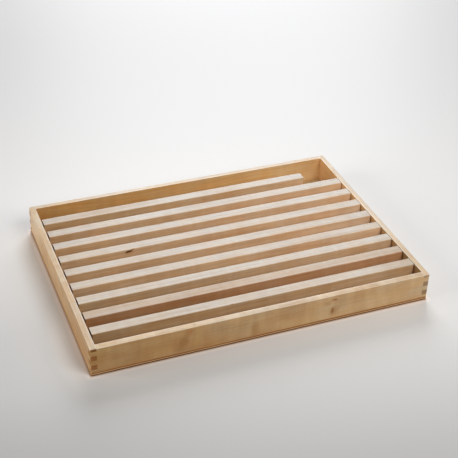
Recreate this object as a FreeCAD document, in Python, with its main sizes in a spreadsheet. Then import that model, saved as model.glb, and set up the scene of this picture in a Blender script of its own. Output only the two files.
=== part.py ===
# Bread board: a shallow wooden tray with finger-jointed corners and a slatted cutting grid lying in it.
# Crumbs fall between the slats into the tray, and the grid lifts straight out to empty it.
#
# Millimetres. The origin is the middle of the tray's underside, +X runs right along the front wall,
# +Y to the back and +Z up.

import FreeCAD
import Part
import Sketcher
import os

# Sizes that can be set by themselves: name, value, what it is.
DRIVING_SIZES = (
    ("tray_length", "400", "outside, left to right"),
    ("tray_width", "286", "outside, front to back"),
    ("tray_height", "36", "table to rim"),
    ("wall_thickness", "7", "all four walls"),
    ("panel_thickness", "5", "plywood under the walls"),
    ("finger_height", "6", "one full finger of a corner joint"),
    ("outer_rounding", "1.5", "outside edges of the walls and the panel"),
    ("underside_chamfer", "0.5", "bottom edges of the panel"),
    ("slat_count", "9", "slats in the grid"),
    ("slat_thickness", "13", "top face of a slat, front to back"),
    ("slat_height", "18", "slat, top to bottom"),
    ("slat_chamfer", "0.6", "long edges of slats and battens"),
    ("front_gap", "16.1", "front wall to the first slat"),
    ("back_gap", "25.7", "last slat to the back wall"),
    ("left_clearance", "1.7", "slat ends to the left wall"),
    ("right_clearance", "0.7", "slat ends to the right wall"),
    ("finger_hole_length", "42", "end of the short slat to the right wall"),
    ("batten_width", "18", "batten, left to right"),
    ("batten_inset", "60", "inside of a side wall to the middle of the nearer batten"),
    ("batten_clearance", "0.8", "batten ends to the front and back walls"),
    ("screw_diameter", "3", "outside of the thread"),
    ("screw_head_diameter", "6", "countersunk head"),
    ("screw_head_recess", "0.3", "head below the batten's underside"),
    ("screw_tip_cover", "5.7", "wood between the tip and the slat's top"),
    ("shank_clearance", "0.2", "round the screw in the batten"),
)

# Sizes and places that follow from them, so that what fits together stays together.
FITTED_SIZES = (
    ("inner_length", "=Sizes.tray_length - 2 * Sizes.wall_thickness", "inside, left to right"),
    ("inner_width", "=Sizes.tray_width - 2 * Sizes.wall_thickness", "inside, front to back"),
    ("board_height", "=Sizes.tray_height - Sizes.panel_thickness", "a wall above the panel"),
    ("finger_pairs", "=floor((board_height / Sizes.finger_height - 1) / 2)", "full fingers on one board end"),
    ("end_finger_height", "=board_height / 2 - finger_pairs * Sizes.finger_height", "last part finger"),
    ("finger_pitch", "=2 * Sizes.finger_height", "one finger and one notch"),
    ("slat_length", "=inner_length - Sizes.left_clearance - Sizes.right_clearance", "long slats"),
    ("short_slat_length", "=inner_length - Sizes.left_clearance - Sizes.finger_hole_length", "rear slat"),
    ("slat_row", "=inner_width - Sizes.front_gap - Sizes.back_gap - Sizes.slat_thickness",
     "first slat's middle to last slat's middle"),
    ("slat_pitch", "=slat_row / (Sizes.slat_count - 1)", "from one slat to the next"),
    ("slat_left", "=Sizes.left_clearance - inner_length / 2", "left end of every slat"),
    ("first_slat", "=Sizes.front_gap + Sizes.slat_thickness / 2 - inner_width / 2", "its middle"),
    ("batten_height", "=board_height - Sizes.slat_height", "brings the slats level with the rim"),
    ("batten_length", "=inner_width - 2 * Sizes.batten_clearance", "between the front and back walls"),
    ("batten_spacing", "=inner_length - 2 * Sizes.batten_inset", "middle to middle"),
    ("batten_front", "=Sizes.batten_clearance - inner_width / 2", "front end of both battens"),
    ("slat_bottom", "=Sizes.panel_thickness + batten_height", "where slats rest on battens"),
    ("countersink_diameter", "=Sizes.screw_head_diameter + 2 * Sizes.screw_head_recess", "90 degrees"),
    ("screw_length", "=board_height - Sizes.screw_head_recess - Sizes.screw_tip_cover", "head to tip"),
)

COUNTERSINK_ANGLE = 90
SAME_PLACE = 0.001


def write_sheet(doc, name, rows):
    """One row for each size: its meaning, its value and the alias that the model reads."""
    sheet = doc.addObject("Spreadsheet::Sheet", name)
    for number, (alias, value, meaning) in enumerate(rows, start=1):
        sheet.set("A%d" % number, meaning)
        sheet.set("B%d" % number, value)
        sheet.setAlias("B%d" % number, alias)
    doc.recompute()
    return sheet


def value(doc, expression):
    """The present value of an expression, in millimetres."""
    return float(doc.getObject("Sizes").evalExpression(expression))


def new_piece(doc, label, left="0", front="0", bottom="0", turn=0):
    """An empty body with its place in the board; turn is about the vertical, in degrees."""
    body = doc.addObject("PartDesign::Body", label)
    body.Label = label
    body.Placement = FreeCAD.Placement(
        FreeCAD.Vector(0, 0, 0), FreeCAD.Rotation(FreeCAD.Vector(0, 0, 1), turn))
    body.setExpression(".Placement.Base.x", left)
    body.setExpression(".Placement.Base.y", front)
    body.setExpression(".Placement.Base.z", bottom)
    return body


def origin_feature(body, role):
    """A plane or axis of the body's own origin."""
    return [feature for feature in body.Origin.OriginFeatures if feature.Role == role][0]


def new_sketch(body, name, role):
    """A sketch on one of the body's origin planes."""
    sketch = body.newObject("Sketcher::SketchObject", "%s_%s" % (body.Label, name))
    sketch.AttachmentSupport = [(origin_feature(body, role), "")]
    sketch.MapMode = "FlatFace"
    return sketch


def bind(sketch, constraint, name, expression):
    """Add a sketch constraint and let an expression drive it."""
    number = sketch.addConstraint(constraint)
    sketch.renameConstraint(number, name)
    sketch.setExpression("Constraints." + name, expression)


def place_point(sketch, edge, point, name, across, up):
    """Hold a point of the sketch at two expressions measured from its origin."""
    doc = sketch.Document
    origin = (-1, 1)
    bind(sketch, Sketcher.Constraint("DistanceX", *origin, edge, point, value(doc, across)),
         name + "_across", across)
    bind(sketch, Sketcher.Constraint("DistanceY", *origin, edge, point, value(doc, up)),
         name + "_up", up)


def draw_outline(sketch, name, corners):
    """A closed outline of straight lines through corners given as pairs of expressions."""
    doc = sketch.Document
    points = [FreeCAD.Vector(value(doc, across), value(doc, up), 0) for across, up in corners]
    first = sketch.GeometryCount
    count = len(points)
    for number, point in enumerate(points):
        sketch.addGeometry(Part.LineSegment(point, points[(number + 1) % count]))
    for number in range(count):
        following = first + (number + 1) % count
        sketch.addConstraint(Sketcher.Constraint("Coincident", first + number, 2, following, 1))
    for number, (across, up) in enumerate(corners):
        place_point(sketch, first + number, 1, "%s%d" % (name, number), across, up)


def draw_rectangle(sketch, name, left, right, low, high):
    """A rectangle whose sides lie at four expressions."""
    draw_outline(sketch, name, [(left, low), (right, low), (right, high), (left, high)])


def draw_circle(sketch, name, across, up, diameter):
    """A circle whose centre and diameter follow expressions."""
    doc = sketch.Document
    centre = FreeCAD.Vector(value(doc, across), value(doc, up), 0)
    radius = value(doc, diameter) / 2
    edge = sketch.addGeometry(Part.Circle(centre, FreeCAD.Vector(0, 0, 1), radius))
    place_point(sketch, edge, 3, name, across, up)
    bind(sketch, Sketcher.Constraint("Diameter", edge, 2 * radius), name + "_diameter", diameter)


def pad(body, sketch, length, reverse=False):
    """Raise a sketch into a solid of the given length."""
    feature = body.newObject("PartDesign::Pad", sketch.Name + "_pad")
    feature.Profile = sketch
    feature.Reversed = reverse
    feature.setExpression("Length", length)
    body.Document.recompute()
    return feature


def check_cut(body, volume_before, feature):
    """Stop when a cut has pointed away from the wood."""
    if feature.Shape.Volume > volume_before - SAME_PLACE:
        raise ValueError("%s of %s removes nothing" % (feature.Name, body.Label))


def cut_through(body, sketch):
    """Cut a sketch right through the body, away from the sketch's own side."""
    volume_before = body.Shape.Volume
    feature = body.newObject("PartDesign::Pocket", sketch.Name + "_cut")
    feature.Profile = sketch
    feature.Type = "ThroughAll"
    body.Document.recompute()
    check_cut(body, volume_before, feature)
    return feature


def repeat(body, feature, axis, length, count):
    """Repeat a feature in an even row, first to last over the given length."""
    row = body.newObject("PartDesign::LinearPattern", feature.Name + "_row")
    row.Originals = [feature]
    row.Direction = (origin_feature(body, axis), [""])
    row.Mode = "Extent"
    row.setExpression("Length", length)
    row.setExpression("Occurrences", count)
    body.Tip = row
    body.Document.recompute()
    return row


def lies_at(low, high, place):
    """True for an edge whose span from low to high lies at one place."""
    return abs(low - place) < SAME_PLACE and abs(high - place) < SAME_PLACE


def edges_where(feature, wanted):
    """Names of the feature's edges whose bounding boxes are wanted."""
    edges = enumerate(feature.Shape.Edges, start=1)
    names = ["Edge%d" % number for number, edge in edges if wanted(edge.BoundBox)]
    if not names:
        raise ValueError("no edge to finish on %s" % feature.Name)
    return names


def round_edges(body, base, names, radius):
    """Round named edges of the base feature."""
    feature = body.newObject("PartDesign::Fillet", body.Label + "_rounding")
    feature.Base = (base, names)
    feature.setExpression("Radius", radius)
    body.Tip = feature
    body.Document.recompute()
    return feature


def bevel_edges(body, base, names, size):
    """Take named edges of the base feature off at 45 degrees."""
    feature = body.newObject("PartDesign::Chamfer", body.Label + "_chamfer")
    feature.Base = (base, names)
    feature.setExpression("Size", size)
    body.Tip = feature
    body.Document.recompute()
    return feature


def wall_board(doc, label, length, left, front, turn, notch_at_top):
    """One wall of the tray, with a row of fingers and notches at both ends.

    Its own frame has the outer face at y = 0, the inner face towards +y and the middle of the lower
    edge at the origin. A board that is notched at the top meets boards that are notched at the bottom.
    """
    body = new_piece(doc, label, left, front, "Sizes.panel_thickness", turn)
    end = "%s / 2" % length
    outline = new_sketch(body, "outline", "XZ_Plane")
    draw_rectangle(outline, "board", "-%s" % end, end, "0", "Fitted.board_height")
    base = pad(body, outline, "Sizes.wall_thickness", reverse=True)

    if notch_at_top:
        end_notch = ("Fitted.board_height - Fitted.end_finger_height", "Fitted.board_height")
        notch_low = "Fitted.end_finger_height"
    else:
        end_notch = ("0", "Fitted.end_finger_height")
        notch_low = "Fitted.end_finger_height + Sizes.finger_height"
    shoulder = "(%s - Sizes.wall_thickness)" % end

    sketch = new_sketch(body, "end_notch", "XZ_Plane")
    draw_rectangle(sketch, "left", "-%s" % end, "-%s" % shoulder, *end_notch)
    draw_rectangle(sketch, "right", shoulder, end, *end_notch)
    cut_through(body, sketch)

    notch_high = "%s + Sizes.finger_height" % notch_low
    sketch = new_sketch(body, "notch", "XZ_Plane")
    draw_rectangle(sketch, "left", "-%s" % end, "-%s" % shoulder, notch_low, notch_high)
    draw_rectangle(sketch, "right", shoulder, end, notch_low, notch_high)
    notch = cut_through(body, sketch)
    fingers = repeat(body, notch, "Z_Axis", "Fitted.finger_pitch * (Fitted.finger_pairs - 1)",
                     "Fitted.finger_pairs")

    half_length = value(doc, end)
    top = value(doc, "Fitted.board_height")

    def outside(box):
        """An edge between two of the board's outer face, its top and its ends."""
        at_face = lies_at(box.YMin, box.YMax, 0)
        at_top = lies_at(box.ZMin, box.ZMax, top)
        at_end = lies_at(box.XMin, box.XMax, half_length) or lies_at(box.XMin, box.XMax, -half_length)
        return at_face + at_top + at_end == 2

    round_edges(body, fingers, edges_where(fingers, outside), "Sizes.outer_rounding")
    return body


def tray_walls(doc):
    """Front and back boards notched at the top, side boards notched at the bottom."""
    return [
        wall_board(doc, "tray_front_wall", "Sizes.tray_length", "0", "-Sizes.tray_width / 2", 0, True),
        wall_board(doc, "tray_back_wall", "Sizes.tray_length", "0", "Sizes.tray_width / 2", 180, True),
        wall_board(doc, "tray_left_wall", "Sizes.tray_width", "-Sizes.tray_length / 2", "0", -90, False),
        wall_board(doc, "tray_right_wall", "Sizes.tray_width", "Sizes.tray_length / 2", "0", 90, False),
    ]


def tray_bottom_panel(doc):
    """The plywood floor, glued under the walls and flush with them outside."""
    body = new_piece(doc, "tray_bottom_panel")
    outline = new_sketch(body, "outline", "XY_Plane")
    draw_rectangle(outline, "panel", "-Sizes.tray_length / 2", "Sizes.tray_length / 2",
                   "-Sizes.tray_width / 2", "Sizes.tray_width / 2")
    base = pad(body, outline, "Sizes.panel_thickness")
    thickness = value(doc, "Sizes.panel_thickness")
    upright = edges_where(base, lambda box: box.ZLength > thickness - SAME_PLACE)
    rounded = round_edges(body, base, upright, "Sizes.outer_rounding")
    underside = edges_where(rounded, lambda box: lies_at(box.ZMin, box.ZMax, 0))
    bevel_edges(body, rounded, underside, "Sizes.underside_chamfer")
    return body


def long_edges(feature, axis_length):
    """The four lengthwise edges of a straight bar."""
    return edges_where(
        feature, lambda box: max(box.XLength, box.YLength) > axis_length - SAME_PLACE)


def grid_slat(doc, label, length, row_place):
    """A plain bar with chamfered long edges, lying on both battens."""
    middle = "Fitted.first_slat + %d * Fitted.slat_pitch" % row_place
    body = new_piece(doc, label, "Fitted.slat_left", middle, "Fitted.slat_bottom")
    section = new_sketch(body, "section", "YZ_Plane")
    draw_rectangle(section, "slat", "-Sizes.slat_thickness / 2", "Sizes.slat_thickness / 2",
                   "0", "Sizes.slat_height")
    bar = pad(body, section, length)
    bevel_edges(body, bar, long_edges(bar, value(doc, length)), "Sizes.slat_chamfer")
    return body


def grid_slats(doc):
    """All slats from front to back; the last is the short one beside the finger hole."""
    count = int(value(doc, "Sizes.slat_count"))
    slats = [
        grid_slat(doc, "grid_slat_%d" % (place + 1), "Fitted.slat_length", place)
        for place in range(count - 1)
    ]
    slats.append(grid_slat(doc, "grid_slat_%d_short" % count, "Fitted.short_slat_length", count - 1))
    return slats


def grid_batten(doc, label, middle):
    """A batten under the slats, with a countersunk screw hole at each of them."""
    body = new_piece(doc, label, middle, "Fitted.batten_front", "Sizes.panel_thickness")
    section = new_sketch(body, "section", "XZ_Plane")
    draw_rectangle(section, "batten", "-Sizes.batten_width / 2", "Sizes.batten_width / 2",
                   "0", "Fitted.batten_height")
    bar = pad(body, section, "Fitted.batten_length", reverse=True)
    edges = long_edges(bar, value(doc, "Fitted.batten_length"))
    finished = bevel_edges(body, bar, edges, "Sizes.slat_chamfer")

    sketch = new_sketch(body, "screw_hole", "XY_Plane")
    diameter = "Sizes.screw_diameter + 2 * Sizes.shank_clearance"
    draw_circle(sketch, "first", "0", "Fitted.first_slat - Fitted.batten_front", diameter)
    doc.recompute()
    hole = body.newObject("PartDesign::Hole", label + "_screw_hole")
    hole.Profile = sketch
    hole.Reversed = True
    hole.DepthType = "ThroughAll"
    hole.HoleCutType = "Countersink"
    hole.HoleCutCustomValues = True
    hole.HoleCutCountersinkAngle = COUNTERSINK_ANGLE
    hole.setExpression("Diameter", diameter)
    hole.setExpression("HoleCutDiameter", "Fitted.countersink_diameter")
    doc.recompute()
    check_cut(body, finished.Shape.Volume, hole)
    repeat(body, hole, "Y_Axis", "Fitted.slat_row", "Sizes.slat_count")
    return body


def grid_battens(doc):
    """The two battens, left and right of the middle."""
    return [
        grid_batten(doc, "grid_left_batten", "-Fitted.batten_spacing / 2"),
        grid_batten(doc, "grid_right_batten", "Fitted.batten_spacing / 2"),
    ]


def grid_screws(doc):
    """One countersunk wood screw, head down, repeated along both battens.

    The threads bite into the slats, so the screws go into the slats' wood with no hole there.
    """
    body = new_piece(doc, "grid_screws", "-Fitted.batten_spacing / 2", "Fitted.first_slat",
                     "Sizes.panel_thickness + Sizes.screw_head_recess")
    body.AllowCompound = True
    head = "Sizes.screw_head_diameter / 2"
    shank = "Sizes.screw_diameter / 2"
    half_outline = new_sketch(body, "half_outline", "XZ_Plane")
    draw_outline(half_outline, "screw", [
        ("0", "0"),
        (head, "0"),
        (shank, "%s - %s" % (head, shank)),
        (shank, "Fitted.screw_length"),
        ("0", "Fitted.screw_length"),
    ])
    doc.recompute()
    screw = body.newObject("PartDesign::Revolution", "screw_turned")
    screw.Profile = half_outline
    screw.ReferenceAxis = (origin_feature(body, "Z_Axis"), [""])
    screw.Angle = 360
    doc.recompute()
    rows = body.newObject("PartDesign::LinearPattern", "screw_rows")
    rows.Originals = [screw]
    rows.Direction = (origin_feature(body, "Y_Axis"), [""])
    rows.Mode = "Extent"
    rows.setExpression("Length", "Fitted.slat_row")
    rows.setExpression("Occurrences", "Sizes.slat_count")
    rows.Direction2 = (origin_feature(body, "X_Axis"), [""])
    rows.Mode2 = "Extent"
    rows.setExpression("Length2", "Fitted.batten_spacing")
    rows.Occurrences2 = 2
    body.Tip = rows
    doc.recompute()
    return body


def check_model(doc, pieces):
    """Stop unless every object worked out and every piece is a valid solid."""
    for item in doc.Objects:
        if "Invalid" in item.State or "Error" in item.State:
            raise ValueError("%s is %s" % (item.Label, item.State))
    for piece in pieces:
        if piece.Shape.isNull() or not piece.Shape.isValid() or not piece.Shape.Solids:
            raise ValueError("%s has no valid solid" % piece.Label)


def export_pieces(pieces):
    """Write each piece to its own file, named after it."""
    os.makedirs("parts", exist_ok=True)
    for piece in pieces:
        piece.Shape.exportStep("parts/%s.step" % piece.Label)
        print("%s: %d solids, %.1f mm3" % (piece.Label, len(piece.Shape.Solids), piece.Shape.Volume))


def main():
    doc = FreeCAD.newDocument("bread_board")
    write_sheet(doc, "Sizes", DRIVING_SIZES)
    write_sheet(doc, "Fitted", FITTED_SIZES)
    pieces = tray_walls(doc)
    pieces.append(tray_bottom_panel(doc))
    pieces += grid_slats(doc)
    pieces += grid_battens(doc)
    pieces.append(grid_screws(doc))
    doc.recompute()
    check_model(doc, pieces)
    export_pieces(pieces)


main()
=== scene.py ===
"""Finish for a bread board: a finger-jointed wooden tray and the slatted grid that lifts out of it.

The frame holds every piece at its real size, in metres. The origin is the middle of the tray's
underside, +X runs right along the front wall, +Y to the back and +Z up. The wooden pieces keep their
shapes and get their wood here. The grid's screws are made again with their threads and cross slots.
"""

import math
import random

import bmesh
import bpy
from mathutils import Matrix, Vector


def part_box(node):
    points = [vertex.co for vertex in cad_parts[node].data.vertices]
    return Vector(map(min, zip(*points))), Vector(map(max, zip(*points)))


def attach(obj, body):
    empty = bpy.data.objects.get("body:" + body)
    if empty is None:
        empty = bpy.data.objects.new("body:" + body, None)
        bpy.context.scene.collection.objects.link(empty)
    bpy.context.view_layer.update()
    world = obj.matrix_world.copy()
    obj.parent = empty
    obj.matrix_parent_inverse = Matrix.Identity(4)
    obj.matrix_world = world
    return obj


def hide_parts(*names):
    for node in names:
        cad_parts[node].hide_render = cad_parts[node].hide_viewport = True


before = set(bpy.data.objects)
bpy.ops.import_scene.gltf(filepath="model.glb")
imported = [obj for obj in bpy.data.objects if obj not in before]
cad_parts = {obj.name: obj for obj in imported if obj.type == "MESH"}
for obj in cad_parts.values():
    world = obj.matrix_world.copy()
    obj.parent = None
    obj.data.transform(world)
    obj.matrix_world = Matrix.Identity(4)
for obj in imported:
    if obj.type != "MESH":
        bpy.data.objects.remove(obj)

bl_info = {
    "name": "Bread board finish",
    "version": (1, 0, 0),
    "blender": (4, 5, 0),
    "location": "3D View > Sidebar > Bread board",
    "description": "Woods, screws and studio for a bread board with a lift-out grid",
    "category": "Object",
}

MM = 0.001
PANEL = "tray_bottom_panel"
BATTENS = ("grid_left_batten", "grid_right_batten")
SLATS = sorted(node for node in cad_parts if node.startswith("grid_slat_"))
SCREWS = "grid_screws"

RIM_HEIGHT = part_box("tray_front_wall")[1].z
FRONT_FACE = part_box("tray_front_wall")[0].y
WALL_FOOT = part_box(PANEL)[1].z
FINGER_HEIGHT = 6 * MM
LOWEST_FINGER = (WALL_FOOT + RIM_HEIGHT) / 2 - 2 * FINGER_HEIGHT

# Tones that multiply a wood's own colour
PLAIN = (1.0, 1.0, 1.0)
# Painted shade, for the right wall's inner face near the front
GAP_SHADE = (0.4, 0.4, 0.4)
SMOKED = (0.75, 0.75, 0.7)
RUSSET = (0.7, 0.55, 0.45)
BEIGE = (0.9, 0.8, 0.7)
TAN = (0.9, 0.9, 0.85)
UNTINTED = (PLAIN, PLAIN)

# Painted light: the upright faces of the walls and the slats are browner at their low ends and paler at
# their high ends
WALL_LIGHT_FALLOFF = ((0.8, 0.75, 0.6), (1.05, 1.15, 1.25))
SLAT_LIGHT_FALLOFF = ((0.9, 0.9, 0.85), (1.1, 1.15, 1.2))

# How much livelier than plain wood the figure of the front and left walls is
LIVELY = 1.8

# The plywood's two glue lines, as shares of its thickness, and how far they waver
LOWER_GLUE = 0.33
UPPER_GLUE = 0.61
GLUE_WAVER = 0.02
# Painted shade on the panel's edges near the table, and tints of its edges near the walls on the front and
# back
FOOT_SHADE_TINT = (0.52, 0.37, 0.26)
UPPER_TINT = (2.60, 3.20, 4.10)

# Painted light and shade on the floor: it grows paler towards the back right, has a painted pool of
# light beside the left wall's front end, a painted glow of bounced light just beside the board and a
# painted contact shadow where the board stands on it
FLOOR_HALF = 4.0
FLOOR_DROP = 0.2 * MM
FLOOR_PALE_WAY = (0.38, 0.93, 0.0)
BRIGHT_SPOT = (-0.212, -0.095, 0.0)
BRIGHT_SPOT_TINT = (1.22, 1.20, 1.18)
GLOW_REACH = 7.0 * MM
GLOW_TINT = (1.20, 1.12, 1.07)
CONTACT_REACH = 2.0 * MM
CONTACT_TINT = (0.66, 0.54, 0.42)

# The camera's sensor, in millimetres, which its lens is measured against
SENSOR_WIDTH = 36.0

SIDES_OF_SCREW = 24
# Points nearer than this count as one
SAME_PLACE = 0.001 * MM


class Nodes:
    """The nodes of one material, each joined to what feeds it as it is added."""

    def __init__(self, name):
        self.material = bpy.data.materials.new(name)
        self.material.use_nodes = True
        self.tree = self.material.node_tree
        self.tree.nodes.clear()

    def add(self, kind, inputs=None, **settings):
        """A node of a kind, with values or sockets for its inputs, by name or number."""
        node = self.tree.nodes.new(kind)
        for setting, value in settings.items():
            setattr(node, setting, value)
        for socket, value in (inputs or {}).items():
            if isinstance(value, bpy.types.NodeSocket):
                self.tree.links.new(value, node.inputs[socket])
            else:
                node.inputs[socket].default_value = value
        return node

    def number(self, operation, first, second=0.0):
        """The result of one arithmetic operation."""
        return self.add("ShaderNodeMath", {0: first, 1: second}, operation=operation).outputs[0]

    def plus(self, first, second):
        """The sum of two numbers."""
        return self.number("ADD", first, second)

    def minus(self, first, second):
        """One number less another."""
        return self.number("SUBTRACT", first, second)

    def times(self, first, second):
        """The product of two numbers."""
        return self.number("MULTIPLY", first, second)

    def most(self, first, second):
        """The larger of two numbers."""
        return self.number("MAXIMUM", first, second)

    def least(self, first, second):
        """The smaller of two numbers."""
        return self.number("MINIMUM", first, second)

    def unsigned(self, value):
        """A number without its sign."""
        return self.number("ABSOLUTE", value)

    def vector(self, operation, first, second=(0.0, 0.0, 0.0)):
        """The vector that one vector operation gives, or the number that a length or dot product is."""
        node = self.add("ShaderNodeVectorMath", {0: first, 1: second}, operation=operation)
        return node.outputs["Value" if operation in ("LENGTH", "DOT_PRODUCT") else "Vector"]

    def parts(self, vector):
        """A vector's three numbers."""
        return self.add("ShaderNodeSeparateXYZ", {"Vector": vector}).outputs

    def noise(self, vector, cycles, detail=2.0, roughness=0.5):
        """Noise from 0 to 1 at a vector, with so many cycles to the metre along each axis."""
        inputs = {
            "Vector": self.vector("MULTIPLY", vector, cycles),
            "Scale": 1.0,
            "Detail": detail,
            "Roughness": roughness,
        }
        return self.add("ShaderNodeTexNoise", inputs).outputs["Fac"]

    def spread(self, value, low, high, to_low=0.0, to_high=1.0):
        """A value eased from one range to another, and held at its ends."""
        inputs = {
            "Value": value,
            "From Min": low,
            "From Max": high,
            "To Min": to_low,
            "To Max": to_high,
        }
        return self.add("ShaderNodeMapRange", inputs, interpolation_type="SMOOTHSTEP").outputs[0]

    def mix(self, share, first, second, blend="MIX"):
        """Two colours mixed by a share. The node's colours are its inputs 6 and 7 and its output 2."""
        inputs = {0: share, 6: first, 7: second}
        return self.add("ShaderNodeMix", inputs, data_type="RGBA", blend_type=blend).outputs[2]

    def tint(self, share, colour, by):
        """A colour multiplied by another as far as a share says."""
        return self.mix(share, colour, rgba(by), "MULTIPLY")

    def bump(self, height, strength, depth):
        """The normal of a surface with a relief of a depth."""
        inputs = {"Height": height, "Strength": strength, "Distance": depth}
        return self.add("ShaderNodeBump", inputs).outputs["Normal"]

    def shader(self, colour, roughness, normal, metallic=0.0, specular=0.5):
        """The surface shader and the material's output."""
        surface = self.add("ShaderNodeBsdfPrincipled", {
            "Base Color": colour,
            "Roughness": roughness,
            "Metallic": metallic,
            "Specular IOR Level": specular,
            "Normal": normal,
        })
        self.add("ShaderNodeOutputMaterial", {"Surface": surface.outputs["BSDF"]})
        return self.material


def rgba(colour):
    """A colour with full alpha."""
    return (*colour, 1.0)


def paint(node, material):
    """Give a whole CAD piece one material."""
    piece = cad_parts[node]
    piece.data.materials.clear()
    piece.data.materials.append(material)


class Mark:
    """A knot, stain or chip, or a patch of painted light or shade: an ellipsoid that tints the wood,
    turned about the Y axis.
    """

    def __init__(self, middle, reach, tint, turn=0.0, softness=0.5):
        self.middle = [value * MM for value in middle]
        self.reach = [value * MM for value in reach]
        self.tint = tint
        self.turn = math.radians(turn)
        self.softness = softness


class Board:
    """How one piece of wood is cut, and what sets it apart from its neighbours.

    Its fibres run along one axis. The tints of its upright and level faces lie evenly spaced from
    its low end to its high end; on the upright faces they are partly painted light. A wall of the
    tray also has an inner face with tints of its own, which are painted light and shade, and its
    ends show in the corner joints. The figure says how lively the wood is, and the end shade how
    much painted shade darkens its ends.
    """

    def __init__(self, node, along, seed, sides=UNTINTED, tops=UNTINTED, marks=(),
                 inward=None, inner=UNTINTED, figure=1.0, end_shade=0.0):
        chance = random.Random(seed)
        self.node = node
        self.along = along
        self.sides = sides
        self.tops = tops
        self.marks = marks
        self.inward = inward
        self.inner = inner
        self.figure = figure
        self.end_shade = end_shade
        low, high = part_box(node)
        self.middle = (low + high) / 2
        self.half = (high - low) / 2
        self.shift = Vector([chance.uniform(-9.0, 9.0) for _ in range(3)])
        angle = chance.uniform(0.0, 2.0 * math.pi)
        self.pith = Vector((0.0, math.cos(angle), math.sin(angle))) * chance.uniform(45 * MM, 95 * MM)

    def reach(self):
        """Half its length along the grain."""
        return getattr(self.half, self.along.lower())


def grain_coordinates(nodes, board):
    """Place in the board from its middle, as it stands and turned so that x runs along the grain."""
    place = nodes.add("ShaderNodeTexCoord")
    from_middle = nodes.vector("SUBTRACT", place.outputs["Object"], board.middle)
    turn = 0.0 if board.along == "X" else -math.pi / 2
    grain = nodes.add("ShaderNodeMapping", {"Vector": from_middle, "Rotation": (0.0, 0.0, turn)})
    return place, from_middle, grain.outputs["Vector"]


def along_board(nodes, from_middle, board, tints, colour):
    """A colour multiplied by tints that follow each other along the board."""
    length = nodes.parts(from_middle)[board.along]
    step = 2 * board.reach() / (len(tints) - 1)
    tint = rgba(tints[0])
    for order, following in enumerate(tints[1:]):
        start = order * step - board.reach()
        tint = nodes.mix(nodes.spread(length, start, start + step), tint, rgba(following))
    return nodes.mix(1.0, tint, rgba(colour), "MULTIPLY")


def facing(nodes, place, axis, low=0.55, high=0.90):
    """0 to 1 as a surface faces along an axis, either way."""
    return nodes.spread(nodes.unsigned(nodes.parts(place.outputs["Normal"])[axis]), low, high)


def edge_distance(nodes, from_middle, board):
    """How far a point of the surface is from the nearest edge of the board's box.

    Of its distances to the box's faces along the three axes the least is 0, and the next is the answer.
    A slat's sawn ends don't count, so their edges are not paled.
    """
    half = board.half if board.inward else board.half + Vector((1.0, 0.0, 0.0))
    inward = nodes.vector("SUBTRACT", half, nodes.vector("ABSOLUTE", from_middle))
    x, y, z = nodes.parts(inward)
    larger = nodes.most(x, y)
    smaller = nodes.least(x, y)
    return nodes.most(smaller, nodes.least(larger, z))


def late_wood(nodes, own, board, look):
    """The dark part of the growth rings round a pith that lies beside the board, from 0 to 1."""
    wander = nodes.noise(own, (5.0, 14.0, 14.0), 3.0, 0.6)
    from_pith = nodes.vector("SUBTRACT", own, board.shift + board.pith)
    across = nodes.vector("MULTIPLY", from_pith, (0.12, 1.0, 1.0))
    radius = nodes.plus(nodes.vector("LENGTH", across), nodes.times(wander, 10 * MM))
    ring = nodes.number("FRACT", nodes.number("DIVIDE", radius, look.ring_spacing))
    return nodes.times(nodes.spread(ring, 0.30, 0.92), nodes.spread(ring, 1.0, 0.94))


def add_marks(nodes, place, board, colour):
    """Tint the wood in each of the board's marks, whose outlines are ragged in keeping with their size."""
    point = place.outputs["Object"]
    ragged = nodes.add("ShaderNodeTexNoise", {
        "Vector": point,
        "Scale": 160.0,
        "Detail": 5.0,
        "Roughness": 0.65,
    })
    wobble = nodes.vector("SUBTRACT", ragged.outputs["Color"], (0.5, 0.5, 0.5))
    wobble = nodes.vector("MULTIPLY", wobble, (0.9, 0.0, 0.9))
    for mark in board.marks:
        inside = nodes.add("ShaderNodeMapping", {
            "Vector": point,
            "Location": mark.middle,
            "Rotation": (0.0, mark.turn, 0.0),
            "Scale": mark.reach,
        }, vector_type="TEXTURE")
        outward = nodes.vector("ADD", inside.outputs["Vector"], wobble)
        nearness = nodes.minus(1.0, nodes.vector("LENGTH", outward))
        colour = nodes.tint(nodes.spread(nearness, 0.0, mark.softness), colour, mark.tint)
    return colour


def glue_lines(nodes, place, from_middle, board, end):
    """1 on the thin lines where a wall's end grain meets the next wall."""
    height = nodes.parts(place.outputs["Object"])["Z"]
    step = nodes.number("DIVIDE", nodes.minus(height, LOWEST_FINGER), FINGER_HEIGHT)
    past_line = nodes.number("FRACT", nodes.plus(step, 0.5))
    from_line = nodes.times(nodes.unsigned(nodes.minus(past_line, 0.5)), FINGER_HEIGHT)
    half_thickness = min(board.half.x, board.half.y)
    from_next = nodes.minus(half_thickness, nodes.vector("DOT_PRODUCT", from_middle, board.inward))
    near = nodes.spread(nodes.least(from_line, from_next), 0.40 * MM, 0.08 * MM)
    return nodes.times(end, near)


def end_shade_share(nodes, place, from_middle, board, end):
    """How much painted shade darkens a slat's ends, where the gaps beside the walls are dark: most at its
    left end, less at its right and its sides.
    """
    from_end = nodes.minus(board.reach(), nodes.unsigned(nodes.parts(from_middle)[board.along]))
    upright_share = nodes.minus(1.0, facing(nodes, place, "Z"))
    near_end = nodes.spread(from_end, 1.1 * MM, 0.4 * MM, 0.0, board.end_shade)
    left_end = nodes.spread(nodes.parts(from_middle)["X"], 1.0 * MM, -1.0 * MM, 0.5 * board.end_shade, 1.0)
    return nodes.most(nodes.times(upright_share, near_end), nodes.times(end, left_end))


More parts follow.
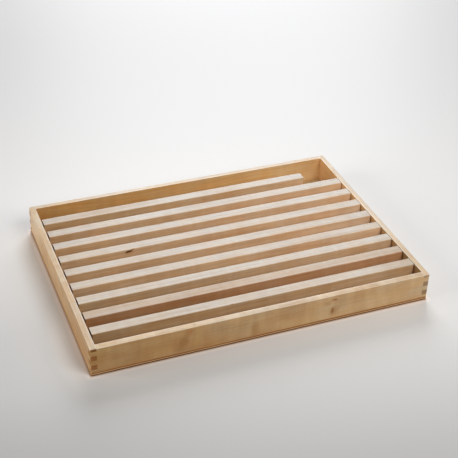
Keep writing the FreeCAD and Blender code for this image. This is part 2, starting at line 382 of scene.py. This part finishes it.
def plain_body(nodes, place, from_middle, board, look, level_share):
    """The wood's colour on each face of a board, before its grain. The level faces' colour is partly a
    painted sheen, and the inner faces carry painted light and shade.
    """
    upright = along_board(nodes, from_middle, board, board.sides, look.side_colour)
    level = along_board(nodes, from_middle, board, board.tops, look.top_colour)
    body = nodes.mix(level_share, upright, level)
    if board.inward:
        toward_grid = nodes.vector("DOT_PRODUCT", place.outputs["Normal"], board.inward)
        inner = along_board(nodes, from_middle, board, board.inner, look.inner_light_tint)
        body = nodes.mix(nodes.spread(toward_grid, 0.55, 0.9), body, inner, "MULTIPLY")
    return body


def wood(board, look):
    """Solid wood with rings, fibres, flecks and clouds, edges paled by wear and painted highlight, dark
    end grain, painted shade at a slat's ends, and marks.
    """
    nodes = Nodes(board.node)
    place, from_middle, grain = grain_coordinates(nodes, board)
    own = nodes.vector("ADD", grain, board.shift)

    cloud = nodes.noise(own, (14.0, 40.0, 40.0))
    warmth = nodes.noise(own, (24.0, 70.0, 70.0))
    curl = nodes.noise(own, (95.0, 18.0, 18.0))
    streak = nodes.noise(own, (9.0, 420.0, 420.0), 4.0, 0.65)
    fibre = nodes.noise(own, (70.0, 2600.0, 2600.0))
    late = late_wood(nodes, own, board, look)
    cells = nodes.add("ShaderNodeTexVoronoi", {
        "Vector": nodes.vector("MULTIPLY", own, (330.0, 1500.0, 1500.0)),
        "Scale": 1.0,
    })

    shade = nodes.times(late, look.ring_strength * board.figure)
    for value, low, high, strength in (
        (streak, 0.35, 0.75, look.streak_strength),
        (cloud, 0.35, 0.75, look.cloud_strength * board.figure),
        (curl, 0.30, 0.70, look.curl_strength * board.figure),
        (cells.outputs["Distance"], 0.30, 0.12, look.fleck_strength),
        (fibre, 0.30, 0.80, look.fibre_strength),
    ):
        shade = nodes.plus(shade, nodes.spread(value, low, high, 0.0, strength))

    upward = nodes.parts(place.outputs["Normal"])["Z"]
    steep, level = (0.30, 0.70) if board.inward else (0.70, 0.95)
    level_share = nodes.spread(upward, steep, level)
    end = facing(nodes, place, board.along)
    body = plain_body(nodes, place, from_middle, board, look, level_share)
    colour = nodes.tint(nodes.spread(warmth, 0.35, 0.65), body, look.warm_tint)
    colour = nodes.tint(shade, colour, look.shade_tint)
    colour = nodes.tint(end, colour, look.end_tint)
    if board.marks:
        colour = add_marks(nodes, place, board, colour)

    scuff = nodes.spread(nodes.noise(own, (160.0, 300.0, 300.0), 3.0), 0.3, 0.7, 0.0, 0.3 * MM)
    from_edge = nodes.plus(edge_distance(nodes, from_middle, board), scuff)
    # The level faces pale near their edges: partly wear, partly a painted highlight along the edges
    wear_and_highlight = nodes.times(level_share, nodes.spread(from_edge, 1.4 * MM, 0.5 * MM))
    wear_and_highlight = nodes.times(wear_and_highlight, nodes.minus(1.0, end))
    # Painted shade at a slat's ends, standing in for the dark gaps beside the walls
    if board.end_shade:
        colour = nodes.tint(end_shade_share(nodes, place, from_middle, board, end), colour, look.end_shade_tint)
    colour = nodes.mix(nodes.times(wear_and_highlight, look.edge_wear_and_highlight), colour, rgba(look.wear_and_highlight_colour))
    if board.inward:
        colour = nodes.tint(glue_lines(nodes, place, from_middle, board, end), colour, look.glue_tint)

    dull = nodes.spread(streak, 0.3, 0.7, look.roughness - 0.03, look.roughness + 0.04)
    dull = nodes.plus(dull, nodes.times(end, 0.45))
    dull = nodes.minus(dull, nodes.times(wear_and_highlight, 0.04))
    relief = nodes.plus(nodes.times(streak, 0.6), nodes.times(fibre, 0.4))
    relief = nodes.plus(relief, nodes.times(late, 0.15))
    return nodes.shader(colour, dull, nodes.bump(relief, look.relief, 0.08 * MM), specular=0.3)


def plywood(board, look):
    """Three plies: the outer two have their grain from front to back, the core from left to right."""
    nodes = Nodes(board.node)
    place, _, grain = grain_coordinates(nodes, board)
    height = nodes.parts(place.outputs["Object"])["Z"]
    waver = nodes.noise(place.outputs["Object"], (60.0, 60.0, 20.0))
    waver = nodes.spread(waver, 0.3, 0.7, -GLUE_WAVER, GLUE_WAVER)
    level = nodes.plus(nodes.number("DIVIDE", height, WALL_FOOT), waver)
    above_lower = nodes.spread(level, LOWER_GLUE - GLUE_WAVER, LOWER_GLUE + GLUE_WAVER)
    below_upper = nodes.spread(level, UPPER_GLUE + GLUE_WAVER, UPPER_GLUE - GLUE_WAVER)
    core = nodes.times(above_lower, below_upper)
    from_lower = nodes.unsigned(nodes.minus(level, LOWER_GLUE))
    from_upper = nodes.unsigned(nodes.minus(level, UPPER_GLUE))
    from_glue = nodes.least(from_lower, from_upper)

    streak = nodes.noise(grain, (7.0, 160.0, 900.0), 4.0, 0.65)
    cloud = nodes.noise(grain, (8.0, 24.0, 60.0))
    pores = nodes.noise(place.outputs["Object"], (900.0, 900.0, 900.0))

    plain = rgba(look.ply_colour)
    sawn = nodes.tint(1.0, plain, look.ply_edge_tint)
    ended = nodes.tint(1.0, plain, look.ply_end_tint)
    outer_plies = nodes.mix(facing(nodes, place, "Y"), sawn, ended)
    core_ply = nodes.mix(facing(nodes, place, "X"), sawn, ended)
    edge = nodes.mix(core, outer_plies, core_ply)
    edge = nodes.tint(nodes.spread(from_glue, 0.05, 0.015), edge, look.glue_tint)
    # Painted shade along the foot of the panel's edges
    edge = nodes.tint(nodes.spread(level, 0.42, 0.18), edge, FOOT_SHADE_TINT)
    upper = nodes.times(facing(nodes, place, "Y"), nodes.spread(level, 0.74, 0.88))
    edge = nodes.tint(upper, edge, UPPER_TINT)
    colour = nodes.mix(facing(nodes, place, "Z"), edge, plain)
    shade = nodes.spread(pores, 0.3, 0.8, 0.0, 0.12)
    shade = nodes.plus(shade, nodes.spread(streak, 0.35, 0.75, 0.0, 1.5 * look.streak_strength))
    shade = nodes.plus(shade, nodes.spread(cloud, 0.35, 0.75, 0.0, 1.5 * look.cloud_strength))
    colour = nodes.tint(shade, colour, look.shade_tint)
    dull = nodes.spread(streak, 0.3, 0.7, 0.45, 0.55)
    return nodes.shader(colour, dull, nodes.bump(pores, 0.3, 0.08 * MM))


def zinc(name, look):
    """Bright zinc plate: fine scratches, dull spots and grime in the cross slots."""
    nodes = Nodes(name)
    point = nodes.add("ShaderNodeTexCoord").outputs["Object"]
    head_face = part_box(SCREWS)[0].z
    spots = nodes.noise(point, (700.0, 700.0, 700.0), 3.0)
    scratches = nodes.noise(point, (6000.0, 900.0, 6000.0))
    colour = nodes.tint(nodes.spread(spots, 0.35, 0.7), rgba(look.zinc_colour), look.spot_tint)
    deep = nodes.spread(nodes.parts(point)["Z"], head_face + 0.3 * MM, head_face + 1.2 * MM)
    colour = nodes.tint(deep, colour, look.grime_tint)
    dull = nodes.spread(spots, 0.3, 0.7, 0.26, 0.42)
    dull = nodes.plus(dull, nodes.spread(scratches, 0.5, 0.8, 0.0, 0.12))
    return nodes.shader(colour, dull, nodes.bump(scratches, 0.2, 0.02 * MM), 1.0)


def screw_mesh(look):
    """One screw, with its head's face at the origin and its tip on the +Z side."""
    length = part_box(SCREWS)[1].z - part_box(SCREWS)[0].z
    head, neck, core = look.head_diameter / 2, look.neck_diameter / 2, look.core_diameter / 2
    thread_start = length / 3
    tip_start = length - look.tip_length
    bevel = 0.1 * MM
    shoulder = 0.6 * MM
    outline = (
        (head - bevel, 0.0),
        (head, bevel),
        (neck, head - neck + 2 * bevel),
        (neck, thread_start),
        (core, thread_start + shoulder),
        (core, tip_start),
        (bevel, length - bevel),
        (0.0, length),
    )
    bm = bmesh.new()
    points = [bm.verts.new((radius, 0.0, height)) for radius, height in outline]
    lines = [bm.edges.new(pair) for pair in zip(points, points[1:])]
    bmesh.ops.spin(bm, geom=points + lines, cent=(0.0, 0.0, 0.0), axis=(0.0, 0.0, 1.0),
                   angle=2.0 * math.pi, steps=SIDES_OF_SCREW, use_merge=True)
    bmesh.ops.remove_doubles(bm, verts=bm.verts, dist=SAME_PLACE)
    sink_cross(bm, look)
    wind_thread(bm, look, thread_start, tip_start, length)
    bmesh.ops.recalc_face_normals(bm, faces=bm.faces)
    mesh = bpy.data.meshes.new("screw")
    bm.to_mesh(mesh)
    bm.free()
    return mesh


def sink_cross(bm, look):
    """Close the head's face round a cross, and sink the cross into it."""
    rim = [edge for edge in bm.edges if max(corner.co.z for corner in edge.verts) < SAME_PLACE]
    half = look.slot_width / 2
    taper = 0.55
    corners = []
    for quarter in range(4):
        turn = Matrix.Rotation(quarter * math.pi / 2, 3, "Z")
        for x, y in ((look.slot_reach, -half), (look.slot_reach, half), (half, half)):
            corners.append(bm.verts.new(turn @ Vector((x, y, 0.0))))
    cross = bm.faces.new(corners)
    bmesh.ops.bridge_loops(bm, edges=rim + list(cross.edges))
    floor = bmesh.ops.extrude_discrete_faces(bm, faces=[cross])["faces"][0]
    for corner in floor.verts:
        corner.co = (corner.co.x * taper, corner.co.y * taper, look.slot_depth)


def wind_thread(bm, look, start, tip_start, length):
    """Wind a ridge round the core. It grows out of it over the first turn and thins along the tip."""
    core = look.core_diameter / 2
    crest = look.thread_diameter / 2
    flank = 0.3 * look.thread_pitch
    sunk = 0.95 * core
    steps_per_turn = 16
    steps = int((length - flank - start) / look.thread_pitch * steps_per_turn)
    others = set(bm.verts)
    section = [bm.verts.new((radius, 0.0, start + rise)) for radius, rise in
               ((sunk, -flank), (crest, 0.0), (sunk, flank))]
    sides = [bm.edges.new(pair) for pair in zip(section, section[1:])]
    bmesh.ops.spin(bm, geom=section + sides, cent=(0.0, 0.0, 0.0), axis=(0.0, 0.0, 1.0),
                   dvec=(0.0, 0.0, look.thread_pitch / steps_per_turn),
                   angle=2.0 * math.pi * steps / steps_per_turn, steps=steps)
    for point in set(bm.verts) - others:
        radius = math.hypot(point.co.x, point.co.y)
        grown = min(1.0, max(0.0, (point.co.z - start) / look.thread_pitch))
        left = min(1.0, max(0.05, (length - point.co.z) / (length - tip_start)))
        wanted = (min(radius, core) + max(0.0, radius - core) * grown) * left
        point.co.x *= wanted / radius
        point.co.y *= wanted / radius


def tint_property(name, description, default):
    """A colour or tint that a user may change. A tint above 1 makes the wood paler."""
    return bpy.props.FloatVectorProperty(
        name=name, description=description, subtype="COLOR", min=0.0, max=2.0, default=default)


def share_property(name, description, default):
    """A share from 0 to 1 that a user may change."""
    return bpy.props.FloatProperty(
        name=name, description=description, subtype="FACTOR", min=0.0, max=1.0, default=default)


def length_property(name, description, default):
    """A length in metres that a user may change."""
    return bpy.props.FloatProperty(
        name=name, description=description, unit="LENGTH", min=0.0, default=default)


def angle_property(name, description, degrees):
    """An angle that a user may change."""
    return bpy.props.FloatProperty(
        name=name, description=description, unit="ROTATION", default=math.radians(degrees))


def power_property(name, description, watts):
    """A lamp's power that a user may change."""
    return bpy.props.FloatProperty(
        name=name, description=description, unit="POWER", min=0.0, default=watts)


class WoodLook:
    """What every wood has: its colours, and how strongly its figure shows."""

    warm_tint: tint_property("Warm patches", "Tint of broad warmer patches", (1.02, 0.97, 0.86))
    shade_tint: tint_property("Shade", "Tint of late wood, streaks and flecks", (0.66, 0.50, 0.36))
    end_tint: tint_property("End grain", "Tint where the fibres end", (0.70, 0.55, 0.42))
    glue_tint: tint_property("Glue lines", "Tint along the glued joints", (0.50, 0.40, 0.30))
    # Painted shade at a slat's ends, standing in for the dark gaps beside the walls
    end_shade_tint: tint_property("Singed ends", "Tint at a slat's sawn ends", (0.42, 0.24, 0.12))
    # The colour the edges pale to, as wear and as a painted highlight
    wear_and_highlight_colour: tint_property("Worn edges", "Colour that the edges fade to", (0.97, 0.89, 0.77))
    ring_spacing: length_property("Ring spacing", "From one growth ring to the next", 2.4 * MM)
    ring_strength: share_property("Rings", "How dark the late wood is", 0.12)
    streak_strength: share_property("Streaks", "How dark the streaks along the grain are", 0.22)
    cloud_strength: share_property("Clouds", "How dark the broad patches are", 0.20)
    curl_strength: share_property("Curl", "How dark the bands across the grain are", 0.14)
    fleck_strength: share_property("Flecks", "How dark the short flecks are", 0.12)
    fibre_strength: share_property("Fibres", "How dark the single fibres are", 0.10)
    # How far the edges pale, as wear and as a painted highlight
    edge_wear_and_highlight: share_property("Edge wear", "How far the edges have faded", 0.45)
    roughness: share_property("Roughness", "Of the planed surface", 0.30)
    relief: share_property("Relief", "How deep the fibres are felt", 0.15)


class BREADBOARD_PG_tray(WoodLook, bpy.types.PropertyGroup):
    """The tray's golden wood and its plywood floor."""

    warm_tint: tint_property("Warm patches", "Tint of broad warmer patches", (1.04, 0.95, 0.80))
    fibre_strength: share_property("Fibres", "How dark the single fibres are", 0.16)
    # How far the edges pale, as wear and as a painted highlight
    edge_wear_and_highlight: share_property("Edge wear", "How far the edges have faded", 0.50)
    # The rim's colour is paler and greyer than the sides': partly the wood's own tone, partly a painted
    # sheen of the lamp behind
    top_colour: tint_property("Rim", "Level faces", (0.78, 0.65, 0.48))
    side_colour: tint_property("Sides", "Upright faces", (0.67, 0.46, 0.26))
    # Painted light: the faces round the grid are paler, standing in for light bounced about in the recess
    inner_light_tint: tint_property("Inner faces", "Tint of the faces round the grid", (1.3, 1.25, 1.1))
    ply_colour: tint_property("Veneer", "The plywood's side grain", (0.65, 0.47, 0.25))
    ply_edge_tint: tint_property("Panel edges", "Tint of the veneer's sawn edges", (1.06, 0.90, 0.74))
    ply_end_tint: tint_property("Veneer ends", "Tint where the veneer's fibres end", (0.32, 0.165, 0.072))


class BREADBOARD_PG_grid(WoodLook, bpy.types.PropertyGroup):
    """The grid's pale pinkish wood."""

    warm_tint: tint_property("Warm patches", "Tint of broad warmer patches", (1.03, 0.96, 0.87))
    streak_strength: share_property("Streaks", "How dark the streaks along the grain are", 0.32)
    fleck_strength: share_property("Flecks", "How dark the short flecks are", 0.18)
    fibre_strength: share_property("Fibres", "How dark the single fibres are", 0.24)
    # The tops' colour is greyer than the sides': partly the wood's own tone, partly a painted sheen of the
    # lamp behind
    top_colour: tint_property("Tops", "Level faces", (0.67, 0.62, 0.55))
    side_colour: tint_property("Sides", "Upright faces", (0.81, 0.60, 0.41))


class BREADBOARD_PG_screws(bpy.types.PropertyGroup):
    """The countersunk screws that hold the slats on the battens."""

    zinc_colour: tint_property("Zinc", "Colour of the plating", (0.74, 0.73, 0.70))
    spot_tint: tint_property("Dull spots", "Tint of the dull spots", (0.82, 0.82, 0.83))
    grime_tint: tint_property("Grime", "Tint of the grime in the slots", (0.6, 0.57, 0.52))
    head_diameter: length_property("Head", "Across the head", 5.8 * MM)
    neck_diameter: length_property("Neck", "Across the smooth neck", 2.4 * MM)
    core_diameter: length_property("Core", "Across the root of the thread", 1.9 * MM)
    thread_diameter: length_property("Thread", "Across the crest of the thread", 2.95 * MM)
    thread_pitch: length_property("Pitch", "From one turn of the thread to the next", 1.35 * MM)
    tip_length: length_property("Tip", "Length of the taper at the tip", 3.5 * MM)
    slot_width: length_property("Slot width", "Across one arm of the cross", 0.9 * MM)
    slot_reach: length_property("Slot reach", "From the middle to the end of an arm", 1.7 * MM)
    slot_depth: length_property("Slot depth", "How far the cross is sunk", 1.3 * MM)


class BREADBOARD_PG_studio(bpy.types.PropertyGroup):
    """Floor, lamps and camera."""

    floor_colour: tint_property("Floor", "Paper where it is palest", (0.930, 0.925, 0.920))
    key_power: power_property("Key lamp", "Softbox behind and to the right", 17.3)
    left_power: power_property("Left lamp", "Softbox on the left", 15.7)
    front_power: power_property("Front lamp", "Softbox in front and to the right", 11.0)
    ambient: bpy.props.FloatProperty(
        name="Ambient", description="Light from all round", default=0.06, min=0.0)
    backdrop: share_property("Backdrop", "How bright the room looks beyond the floor", 0.80)
    azimuth: angle_property("Azimuth", "Camera's place round the board", -22.26)
    elevation: angle_property("Elevation", "Camera's height above the table", 34.02)
    roll: angle_property("Roll", "Camera's tilt about its own axis", 1.86)
    distance: length_property("Distance", "From the camera to the tray's middle", 1.29)
    step_right: length_property("Step right", "Camera's sideways step", 0.0093)
    step_up: length_property("Step up", "Camera's upward step", 0.0421)
    lens: bpy.props.FloatProperty(
        name="Lens", description="Focal length", default=84.1, min=10.0, unit="CAMERA")


class BREADBOARD_PG_settings(bpy.types.PropertyGroup):
    """Everything that a user of the board may change."""

    tray: bpy.props.PointerProperty(
        type=BREADBOARD_PG_tray, name="Tray", description="Walls and panel")
    grid: bpy.props.PointerProperty(
        type=BREADBOARD_PG_grid, name="Grid", description="Slats and battens")
    screws: bpy.props.PointerProperty(
        type=BREADBOARD_PG_screws, name="Screws", description="The grid's screws")
    studio: bpy.props.PointerProperty(
        type=BREADBOARD_PG_studio, name="Studio", description="Floor, lamps and camera")


class BREADBOARD_OT_walls(bpy.types.Operator):
    """Give the four walls their wood, with a knot and cloudy bands on the front one"""

    bl_idname = "bread_board.walls"
    bl_label = "Tray walls"

    def execute(self, context):
        face = FRONT_FACE / MM
        rim = RIM_HEIGHT / MM
        # The front wall's knot and a smaller one above it, cloudy bands, painted shade low at the left
        # corner, painted light at the upper left and right corners and along the upper edge, two spots on
        # the rim and the wall's end in the left corner joint
        front_marks = (
            Mark((80.0, face, 14.5), (9.0, 4.0, 10.0), (0.86, 0.76, 0.64), softness=0.9),
            Mark((78.0, face, 15.6), (2.9, 4.0, 7.0), (0.62, 0.44, 0.28), 4.0, 0.8),
            Mark((72.0, face, 26.0), (6.0, 4.0, 4.0), (0.88, 0.84, 0.74), softness=0.9),
            Mark((78.5, face, 30.0), (9.0, 4.0, 2.6), (0.90, 0.78, 0.66), softness=0.8),
            Mark((80.0, face, 30.0), (4.2, 4.0, 1.3), (0.62, 0.40, 0.26), softness=0.7),
            Mark((-98.0, face, 18.0), (8.0, 4.0, 26.0), (0.80, 0.72, 0.60), 22.0, 0.9),
            Mark((-90.0, face, 30.0), (7.0, 4.0, 6.0), (0.94, 0.76, 0.66), softness=0.9),
            Mark((-82.0, face, 18.0), (5.0, 4.0, 18.0), (1.06, 1.10, 1.04), 14.0, 0.9),
            Mark((-16.0, face, 12.0), (8.0, 4.0, 18.0), (0.84, 0.77, 0.64), 6.0, 0.9),
            Mark((-195.0, face, 9.0), (15.0, 4.0, 17.0), (0.93, 0.91, 0.89), softness=0.9),
            Mark((-186.0, face, 34.0), (34.0, 4.0, 9.0), (1.12, 1.28, 1.42), softness=0.9),
            Mark((196.0, face, 12.0), (10.0, 4.0, 26.0), (1.02, 1.15, 1.28), softness=0.9),
            Mark((0.0, face, 38.0), (270.0, 4.0, 17.0), (1.05, 1.10, 1.18), softness=0.9),
            Mark((-84.5, face + 3.5, rim), (2.6, 1.8, 1.0), (0.72, 0.62, 0.54), softness=0.9),
            Mark((131.0, face + 3.5, rim), (13.0, 9.0, 4.0), (0.84, 0.80, 0.76), softness=0.9),
            Mark((-200.0, face + 3.5, 20.0), (1.0, 8.0, 30.0), (1.04, 1.16, 1.06)),
        )
        # The left wall's finger ends on the front, and painted light along the upper edge of its outer
        # face
        left_marks = (
            Mark((-196.5, face, 20.0), (8.0, 1.0, 30.0), (0.98, 0.82, 0.70)),
            Mark((-196.5, face, 34.6), (8.0, 1.0, 2.4), (0.72, 0.70, 0.56), softness=0.3),
            Mark((-200.0, 0.0, 38.0), (4.0, 200.0, 10.0), (1.10, 1.09, 1.07), softness=0.9),
        )
        # The right wall's finger ends on the front, and a line of painted light along its inner edge,
        # which lightens the shade in the gaps at the slats' ends
        right_marks = (
            Mark((196.5, face, 20.0), (8.0, 1.0, 30.0), (0.77, 0.98, 1.32)),
            Mark((196.5, face, 35.0), (8.0, 1.0, 3.0), (1.35, 1.45, 1.55), softness=0.3),
            Mark((193.0, 0.0, 35.5), (0.6, 140.0, 1.6), (1.30, 1.30, 1.28)),
        )
        boards = (
            Board("tray_front_wall", "X", 1, WALL_LIGHT_FALLOFF, marks=front_marks,
                  inward=(0.0, 1.0, 0.0), figure=LIVELY),
            Board("tray_back_wall", "X", 2, WALL_LIGHT_FALLOFF, inward=(0.0, -1.0, 0.0)),
            Board("tray_left_wall", "Y", 5, WALL_LIGHT_FALLOFF, marks=left_marks,
                  inward=(1.0, 0.0, 0.0), figure=LIVELY),
            # The right wall's inner face has painted shade towards the front
            Board("tray_right_wall", "Y", 6, marks=right_marks,
                  inward=(-1.0, 0.0, 0.0), inner=(GAP_SHADE, PLAIN)),
        )
        for board in boards:
            paint(board.node, wood(board, context.scene.bread_board.tray))
        return {"FINISHED"}


class BREADBOARD_OT_panel(bpy.types.Operator):
    """Give the tray's floor its three plies"""

    bl_idname = "bread_board.panel"
    bl_label = "Bottom panel"

    def execute(self, context):
        paint(PANEL, plywood(Board(PANEL, "Y", 3), context.scene.bread_board.tray))
        return {"FINISHED"}


class BREADBOARD_OT_slats(bpy.types.Operator):
    """Give each slat its own stick of wood"""

    bl_idname = "bread_board.slats"
    bl_label = "Slats"

    def execute(self, context):
        tones = (SMOKED, RUSSET, TAN, PLAIN, PLAIN, PLAIN, PLAIN, PLAIN, TAN)
        for order, node in enumerate(SLATS):
            # Each slat's own tone, times the painted light that fades towards its left end
            sides = tuple(tuple(Vector(end) * Vector(tones[order])) for end in SLAT_LIGHT_FALLOFF)
            tops = (BEIGE, BEIGE) if order == 1 else UNTINTED
            # Painted shade at the ends, standing in for the dark gaps beside the walls, darkest on the
            # front slats
            end_shade = max(0.1, 0.95 - 0.25 * order)
            board = Board(node, "X", 11 + order, sides, tops, slat_marks(node, order), end_shade=end_shade)
            paint(node, wood(board, context.scene.bread_board.grid))
        return {"FINISHED"}


def slat_marks(node, order):
    """A stain on the first slat, a knot in the sixth and a warm patch on the last one's top."""
    low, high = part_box(node)
    face, top = low.y / MM, high.z / MM
    if order == 0:
        return (Mark((-34.0, face, top), (1.8, 1.2, 1.0), (0.60, 0.46, 0.36)),)
    if order == 5:
        return (
            Mark((-109.0, face, top - 4.0), (9.0, 4.0, 4.0), (0.88, 0.78, 0.68), -8.0, 0.8),
            Mark((-110.8, face, top - 3.0), (5.4, 3.0, 1.5), (0.14, 0.08, 0.04), -9.0, 0.4),
            Mark((-106.5, face, top - 1.6), (3.8, 3.0, 0.9), (0.50, 0.34, 0.22), -22.0),
        )
    if order == 8:
        return (Mark((-120.0, face + 6.5, top), (40.0, 12.0, 4.0), (0.94, 0.80, 0.66), softness=0.9),)
    return ()


class BREADBOARD_OT_battens(bpy.types.Operator):
    """Give both battens their wood"""

    bl_idname = "bread_board.battens"
    bl_label = "Battens"

    def execute(self, context):
        for seed, node in enumerate(BATTENS, start=31):
            paint(node, wood(Board(node, "Y", seed), context.scene.bread_board.grid))
        return {"FINISHED"}


class BREADBOARD_OT_screws(bpy.types.Operator):
    """Make the screws with threads and cross slots, one up through each batten into each slat"""

    bl_idname = "bread_board.screws"
    bl_label = "Screws"

    def execute(self, context):
        look = context.scene.bread_board.screws
        one = screw_mesh(look)
        chance = random.Random(7)
        bm = bmesh.new()
        for batten in BATTENS:
            for slat in SLATS:
                x = sum(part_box(batten), Vector()).x / 2
                y = sum(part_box(slat), Vector()).y / 2
                place = Matrix.Translation((x, y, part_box(SCREWS)[0].z))
                turned = one.copy()
                turned.transform(place @ Matrix.Rotation(chance.uniform(0.0, math.pi / 2), 4, "Z"))
                bm.from_mesh(turned)
                bpy.data.meshes.remove(turned)
        mesh = bpy.data.meshes.new("screws")
        bm.to_mesh(mesh)
        bm.free()
        bpy.data.meshes.remove(one)
        mesh.shade_smooth()
        mesh.set_sharp_from_angle(angle=math.radians(35.0))
        mesh.materials.append(zinc("zinc", look))
        screws = bpy.data.objects.new("screws", mesh)
        context.scene.collection.objects.link(screws)
        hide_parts(SCREWS)
        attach(screws, "grid")
        return {"FINISHED"}


class BREADBOARD_OT_studio(bpy.types.Operator):
    """Set up the paper floor, the lamps and the camera"""

    bl_idname = "bread_board.studio"
    bl_label = "Studio"

    def execute(self, context):
        studio = context.scene.bread_board.studio
        build_floor(studio)
        build_lamps(studio)
        build_room(studio)
        build_camera(studio)
        context.scene.view_settings.view_transform = "Standard"
        return {"FINISHED"}


def floor_tone(nodes, point, studio):
    """The paper's colour: its broad fall of light, and what the board's light and shade add to it."""
    x, y, _ = nodes.parts(point)
    away = nodes.vector("DOT_PRODUCT", point, FLOOR_PALE_WAY)
    light = nodes.spread(away, -0.44, 0.10, 0.425, 1.0)
    light = nodes.times(light, nodes.spread(y, -0.27, 0.78, 1.13, 0.82))
    light = nodes.times(light, nodes.spread(x, -0.20, 0.20, 1.0, 0.95))
    dim = nodes.times(nodes.spread(x, -0.20, -0.25), nodes.spread(y, -0.16, -0.04))
    dim = nodes.times(dim, nodes.spread(y, 0.30, 0.12, 0.0, 0.12))
    light = nodes.times(light, nodes.minus(1.0, dim))
    tone = nodes.mix(light, rgba((0.0, 0.0, 0.0)), rgba(studio.floor_colour))
    from_spot = nodes.vector("SUBTRACT", point, BRIGHT_SPOT)
    from_spot = nodes.vector("LENGTH", nodes.vector("MULTIPLY", from_spot, (42.0, 11.0, 0.0)))
    tone = nodes.tint(nodes.spread(from_spot, 1.0, 0.2), tone, BRIGHT_SPOT_TINT)
    beyond = nodes.vector("SUBTRACT", nodes.vector("ABSOLUTE", point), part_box(PANEL)[1])
    beyond = nodes.vector("LENGTH", nodes.vector("MAXIMUM", beyond))
    tone = nodes.tint(nodes.spread(beyond, GLOW_REACH, 1.5 * MM), tone, GLOW_TINT)
    return nodes.tint(nodes.spread(beyond, CONTACT_REACH, 0.0), tone, CONTACT_TINT)


def build_floor(studio):
    """A wide level sheet of pale paper just under the tray."""
    mesh = bpy.data.meshes.new("floor")
    bm = bmesh.new()
    bmesh.ops.create_grid(bm, x_segments=1, y_segments=1, size=FLOOR_HALF)
    bmesh.ops.translate(bm, verts=bm.verts, vec=(0.0, 0.0, -FLOOR_DROP))
    bm.to_mesh(mesh)
    bm.free()
    floor = bpy.data.objects.new("floor", mesh)
    bpy.context.scene.collection.objects.link(floor)
    nodes = Nodes("paper")
    point = nodes.add("ShaderNodeTexCoord").outputs["Object"]
    fibres = nodes.noise(point, (900.0, 900.0, 900.0), 3.0)
    speckle = nodes.spread(fibres, 0.3, 0.7, 0.0, 0.5)
    tone = nodes.tint(speckle, floor_tone(nodes, point, studio), (0.985, 0.985, 0.98))
    mesh.materials.append(nodes.shader(tone, 0.5, nodes.bump(fibres, 0.1, 0.05 * MM)))


def build_lamps(studio):
    """Three softboxes that face the board: a cool key behind it, warmer ones on the left and in front."""
    for name, power, colour, azimuth, elevation, distance, size in (
        ("key", studio.key_power, (0.985, 1.0, 1.02), 22.0, 30.0, 1.7, 1.0),
        ("left", studio.left_power, (1.02, 1.0, 0.97), 270.0, 20.0, 1.7, 1.0),
        ("front", studio.front_power, (1.02, 1.0, 0.97), 158.0, 45.0, 1.4, 0.8),
    ):
        around, above = math.radians(azimuth), math.radians(elevation)
        place = distance * Vector((
            math.sin(around) * math.cos(above),
            math.cos(around) * math.cos(above),
            math.sin(above),
        ))
        lamp = bpy.data.lights.new(name, "AREA")
        lamp.energy = power
        lamp.color = colour
        lamp.size = size
        holder = bpy.data.objects.new(name, lamp)
        holder.location = place
        holder.rotation_euler = place.to_track_quat("Z", "Y").to_euler()
        bpy.context.scene.collection.objects.link(holder)


def build_room(studio):
    """An even glow all round, and a pale room beyond the floor's edge."""
    world = bpy.data.worlds.new("room")
    world.use_nodes = True
    tree = world.node_tree
    background = tree.nodes["Background"]
    background.inputs["Color"].default_value = rgba(PLAIN)
    rays = tree.nodes.new("ShaderNodeLightPath")
    strength = tree.nodes.new("ShaderNodeMapRange")
    strength.inputs["To Min"].default_value = studio.ambient
    strength.inputs["To Max"].default_value = studio.backdrop
    tree.links.new(rays.outputs["Is Camera Ray"], strength.inputs["Value"])
    tree.links.new(strength.outputs["Result"], background.inputs["Strength"])
    bpy.context.scene.world = world


def build_camera(studio):
    """The camera looks down at the board from the front left."""
    azimuth, elevation = studio.azimuth, studio.elevation
    back = Vector((
        math.sin(azimuth) * math.cos(elevation),
        -math.cos(azimuth) * math.cos(elevation),
        math.sin(elevation),
    ))
    level_right = (-back).cross(Vector((0.0, 0.0, 1.0))).normalized()
    turn = Matrix.Rotation(studio.roll, 3, back)
    right = turn @ level_right
    up = back.cross(right)
    axes = Matrix((right, up, back)).transposed().to_4x4()
    place = back * studio.distance + right * studio.step_right + up * studio.step_up
    data = bpy.data.cameras.new("camera")
    data.lens = studio.lens
    data.sensor_width = SENSOR_WIDTH
    camera = bpy.data.objects.new("camera", data)
    camera.matrix_world = Matrix.Translation(place) @ axes
    bpy.context.scene.collection.objects.link(camera)
    bpy.context.scene.camera = camera


class BREADBOARD_PT_panel(bpy.types.Panel):
    """Lists the pieces in the order in which they are finished"""

    bl_idname = "BREADBOARD_PT_panel"
    bl_label = "Bread board"
    bl_space_type = "VIEW_3D"
    bl_region_type = "UI"
    bl_category = "Bread board"

    def draw(self, context):
        for step in STEPS:
            self.layout.operator(step.bl_idname)


STEPS = (
    BREADBOARD_OT_walls,
    BREADBOARD_OT_panel,
    BREADBOARD_OT_slats,
    BREADBOARD_OT_battens,
    BREADBOARD_OT_screws,
    BREADBOARD_OT_studio,
)
CLASSES = (
    BREADBOARD_PG_tray,
    BREADBOARD_PG_grid,
    BREADBOARD_PG_screws,
    BREADBOARD_PG_studio,
    BREADBOARD_PG_settings,
    *STEPS,
    BREADBOARD_PT_panel,
)


def register():
    for item in CLASSES:
        bpy.utils.register_class(item)
    bpy.types.Scene.bread_board = bpy.props.PointerProperty(type=BREADBOARD_PG_settings)


def unregister():
    del bpy.types.Scene.bread_board
    for item in reversed(CLASSES):
        bpy.utils.unregister_class(item)


def main():
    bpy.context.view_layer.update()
    register()
    bpy.ops.bread_board.walls()
    bpy.ops.bread_board.panel()
    bpy.ops.bread_board.slats()
    bpy.ops.bread_board.battens()
    bpy.ops.bread_board.screws()
    bpy.ops.bread_board.studio()


if __name__ == "__main__":
    main()
